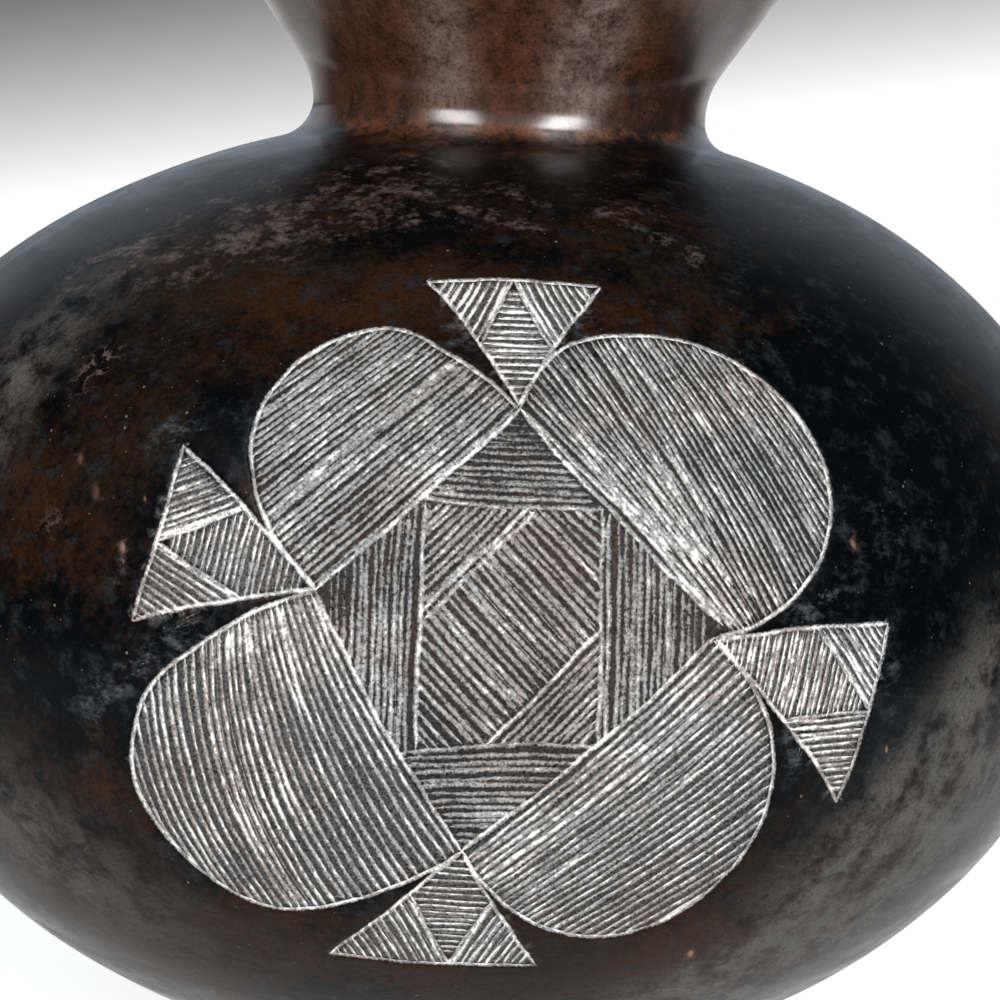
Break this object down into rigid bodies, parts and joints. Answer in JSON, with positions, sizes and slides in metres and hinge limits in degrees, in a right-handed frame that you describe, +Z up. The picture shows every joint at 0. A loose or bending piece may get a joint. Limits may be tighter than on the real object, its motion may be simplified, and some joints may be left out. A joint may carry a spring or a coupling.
{
  "type": "incised clay pot",
  "caption": "Low round hand-built clay pot with a narrow neck, a flared mouth and a flat seat, for holding and pouring liquids; smoke-blackened and burnished.",
  "frame": {"origin": "middle of the flat seat that the pot stands on", "axes": "+Z up through the mouth, +X towards the side that the neck is set off to, -Y towards the incised front"},
  "size_m": [0.3, 0.3, 0.2705],
  "materials": {
    "blackened_clay": "burnished, smoke-blackened clay with brown clouds, semi-gloss",
    "brown_clay": "burnished dark reddish-brown clay, semi-gloss"
  },
  "bodies": {
    "root": {"base_dish": "blackened_clay", "wall_course_1": "blackened_clay", "wall_course_2": "blackened_clay", "wall_course_3": "blackened_clay", "wall_course_4": "blackened_clay", "wall_course_5": "blackened_clay", "wall_course_6": "blackened_clay", "neck_collar": "brown_clay", "flare_course": "brown_clay", "rim_coil": "brown_clay"}
  },
  "joints": []
}
